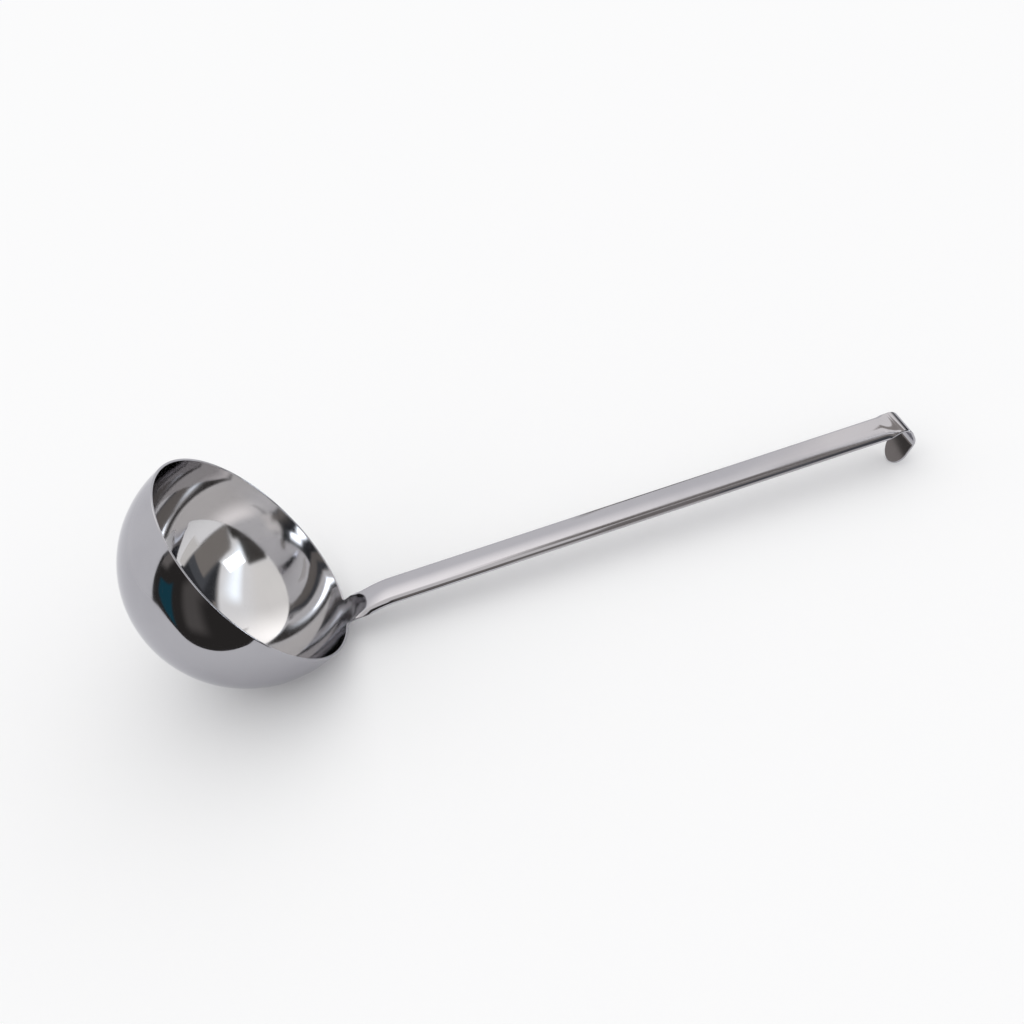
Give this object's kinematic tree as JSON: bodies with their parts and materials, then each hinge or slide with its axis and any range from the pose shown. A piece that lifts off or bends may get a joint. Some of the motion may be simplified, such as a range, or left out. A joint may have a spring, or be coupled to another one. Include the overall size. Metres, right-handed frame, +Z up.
{
  "type": "ladle",
  "caption": "Polished steel soup ladle with a deep half-round bowl, a neck tab, a crowned channel handle and a flattened end bent over into a hanging hook.",
  "frame": {"origin": "middle of the lying ladle's outline, on the surface that it lies on", "axes": "+X along the handle from the bowl to the hook, +Z up, Y across; the ladle is symmetric about the XZ plane"},
  "size_m": [0.3938, 0.12, 0.1138],
  "materials": {
    "bowl_steel": "mirror polished stainless steel",
    "handle_steel": "mirror polished stainless steel",
    "weld_steel": "weld ground and polished flush"
  },
  "bodies": {
    "root": {"bowl": "bowl_steel", "handle": "handle_steel", "neck_weld": "weld_steel"}
  },
  "joints": []
}
